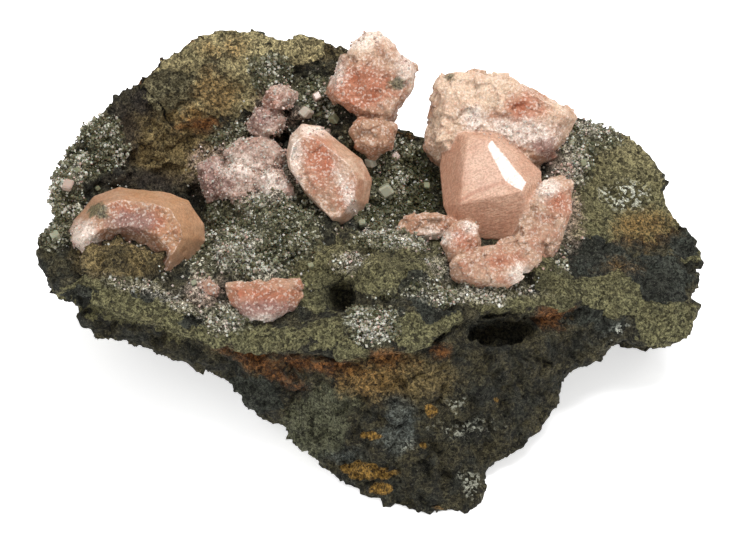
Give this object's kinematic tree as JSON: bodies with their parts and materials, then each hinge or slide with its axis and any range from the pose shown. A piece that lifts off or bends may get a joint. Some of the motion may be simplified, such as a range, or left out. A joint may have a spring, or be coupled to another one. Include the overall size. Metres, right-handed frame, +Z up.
{
  "type": "mineral specimen",
  "caption": "Flesh-pink hexagonal gmelinite crystals in the open half of a druse-lined cavity, on a dark broken lump of basalt resting on its flat underside.",
  "frame": {"origin": "on the table, under the middle of the whole specimen", "axes": "+Z up, -Y towards the front that the open cavity and the prow face, +X to the right as seen from the front"},
  "size_m": [0.0904, 0.059, 0.0387],
  "materials": {
    "basalt": "rough broken basalt with a dull green-brown crust and a sugary druse",
    "gmelinite": "translucent flesh-pink crystal, glassy on whole faces and sugary on broken ones",
    "gmelinite_pale": "translucent pale pink crystal, dusted with fine white grains"
  },
  "bodies": {
    "root": {"basalt_matrix": "basalt", "left_crystal": "gmelinite", "middle_crystal": "gmelinite", "upper_crystals": "gmelinite", "right_crystal_cluster": "gmelinite", "centre_crystals": "gmelinite_pale", "rear_crystals": "gmelinite_pale", "front_crystal": "gmelinite", "front_small_crystal": "gmelinite_pale"}
  },
  "joints": []
}
